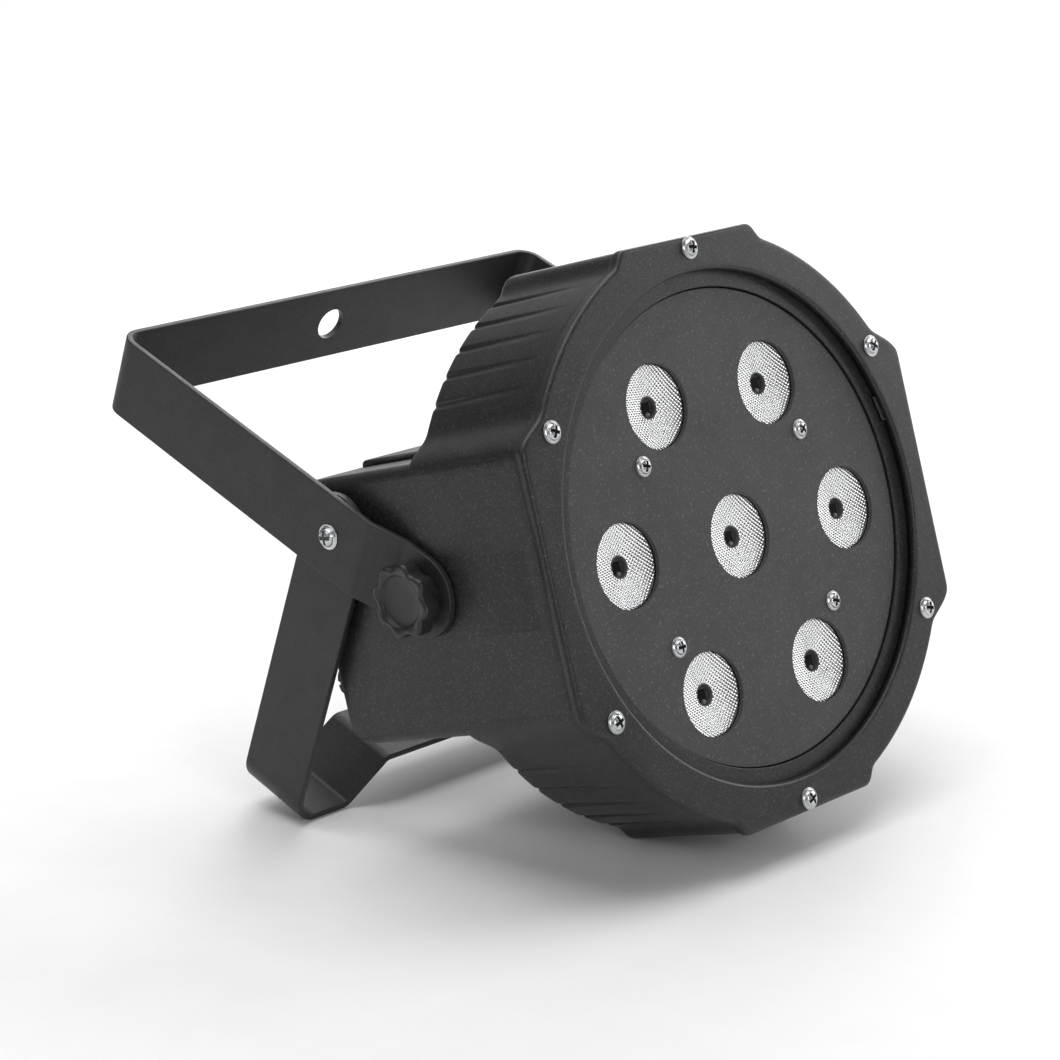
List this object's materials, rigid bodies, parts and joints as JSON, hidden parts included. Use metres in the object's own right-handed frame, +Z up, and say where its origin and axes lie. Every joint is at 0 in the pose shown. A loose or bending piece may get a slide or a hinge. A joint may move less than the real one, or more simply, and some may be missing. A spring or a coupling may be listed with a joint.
{
  "type": "par can light",
  "caption": "Slim LED par can light: drum head with round lenses and a rear box, clamped in a steel yoke with a hinged floor bracket and lobed knobs.",
  "frame": {"origin": "on the floor, under the middle of the whole object's box", "axes": "+Z up, lens face toward -Y and tipped 17 degrees up, X along the tilt pivot"},
  "size_m": [0.1882, 0.2085, 0.1774],
  "materials": {
    "shell_plastic": "fine-grained moulded black plastic",
    "black_steel": "black powder coat on steel strip",
    "lens_plate_paint": "satin charcoal powder coat",
    "zinc_steel": "bright zinc plate",
    "brass": "turned brass",
    "lens_acrylic": "clear moulded acrylic, beaded front",
    "knob_plastic": "black moulded plastic",
    "board_white": "white-coated aluminium circuit board",
    "led_phosphor": "clear dome on a white package",
    "sink_aluminium": "extruded aluminium",
    "board_green": "green circuit board",
    "winding": "taped winding on a ferrite core",
    "capacitor_sleeve": "sleeved capacitor cans",
    "display_black": "segment display block",
    "display_red": "smoked red filter",
    "button_grey": "dark grey moulded caps",
    "washer_fibre": "friction washers"
  },
  "bodies": {
    "head": {"housing": "shell_plastic", "rear_panel": "black_steel", "rear_panel_screws": "zinc_steel", "front_bezel": "shell_plastic", "bezel_screws": "zinc_steel", "lens_plate": "lens_plate_paint", "plate_screws": "zinc_steel", "plate_standoffs": "brass", "lens_1": "lens_acrylic", "lens_2": "lens_acrylic", "lens_3": "lens_acrylic", "lens_4": "lens_acrylic", "lens_5": "lens_acrylic", "lens_6": "lens_acrylic", "lens_7": "lens_acrylic", "lens_tray": "knob_plastic", "led_board": "board_white", "led_emitters": "led_phosphor", "heatsink": "sink_aluminium", "heatsink_screws": "zinc_steel", "fan_frame": "knob_plastic", "fan_screws": "zinc_steel", "psu_board": "board_green", "psu_transformer": "winding", "psu_capacitors": "capacitor_sleeve", "psu_choke": "winding", "control_board": "board_green", "display_module": "display_black", "display_window": "display_red", "dmx_in_socket": "knob_plastic", "dmx_in_pins": "brass", "dmx_out_socket": "knob_plastic", "power_inlet": "knob_plastic", "inlet_pins": "zinc_steel", "fuse_holder": "knob_plastic", "fuse_link": "zinc_steel", "pivot_inserts": "brass", "pivot_washers": "washer_fibre"},
    "yoke": {"main_yoke": "black_steel", "hinge_screws": "zinc_steel", "knob_washers": "zinc_steel"},
    "floor_leg": {"foot_bracket": "black_steel", "hinge_nuts": "zinc_steel"},
    "clamp_knob_left": {"knob_left": "knob_plastic", "knob_stud_left": "zinc_steel"},
    "clamp_knob_right": {"knob_right": "knob_plastic", "knob_stud_right": "zinc_steel"},
    "fan": {"fan_rotor": "knob_plastic"},
    "menu_button_1": {"button_1": "button_grey"},
    "menu_button_2": {"button_2": "button_grey"},
    "menu_button_3": {"button_3": "button_grey"},
    "menu_button_4": {"button_4": "button_grey"},
    "socket_latch": {"dmx_out_latch": "zinc_steel"},
    "fuse_carrier": {"fuse_cap": "knob_plastic"}
  },
  "joints": [
    {"name": "head_tilt", "type": "hinge", "parent": "head", "child": "yoke", "pos_m": [0, -0.02865, 0.08349], "axis": [1, 0, 0], "range_deg": [-35, 90]},
    {"name": "floor_leg_fold", "type": "hinge", "parent": "yoke", "child": "floor_leg", "pos_m": [0, 0.00421, 0.09525], "axis": [1, 0, 0], "range_deg": [-4, 90]},
    {"name": "knob_left_turn", "type": "hinge", "parent": "head", "child": "clamp_knob_left", "pos_m": [-0.09, -0.02865, 0.08349], "axis": [-1, 0, 0], "range_deg": [0, 540]},
    {"name": "knob_right_turn", "type": "hinge", "parent": "head", "child": "clamp_knob_right", "pos_m": [0.09, -0.02865, 0.08349], "axis": [1, 0, 0], "range_deg": [0, 540]},
    {"name": "fan_spin", "type": "hinge", "parent": "head", "child": "fan", "pos_m": [-0.014, 0.00633, 0.06997], "axis": [0, 0.9563, -0.2924], "continuous": true},
    {"name": "fuse_cap_turn", "type": "hinge", "parent": "head", "child": "fuse_carrier", "pos_m": [-0.072, 0.00975, 0.04696], "axis": [0, 0.9563, -0.2924], "range_deg": [0, 90]},
    {"name": "socket_latch_press", "type": "slide", "parent": "head", "child": "socket_latch", "axis": [0, -0.9563, 0.2924], "range_m": [0, 0.0015], "stiffness_N_per_m": 500, "springref_m": -0.0008},
    {"name": "button_1_press", "type": "slide", "parent": "head", "child": "menu_button_1", "axis": [0, -0.9563, 0.2924], "range_m": [0, 0.001], "stiffness_N_per_m": 400, "springref_m": -0.0008},
    {"name": "button_2_press", "type": "slide", "parent": "head", "child": "menu_button_2", "axis": [0, -0.9563, 0.2924], "range_m": [0, 0.001], "stiffness_N_per_m": 400, "springref_m": -0.0008},
    {"name": "button_3_press", "type": "slide", "parent": "head", "child": "menu_button_3", "axis": [0, -0.9563, 0.2924], "range_m": [0, 0.001], "stiffness_N_per_m": 400, "springref_m": -0.0008},
    {"name": "button_4_press", "type": "slide", "parent": "head", "child": "menu_button_4", "axis": [0, -0.9563, 0.2924], "range_m": [0, 0.001], "stiffness_N_per_m": 400, "springref_m": -0.0008}
  ]
}
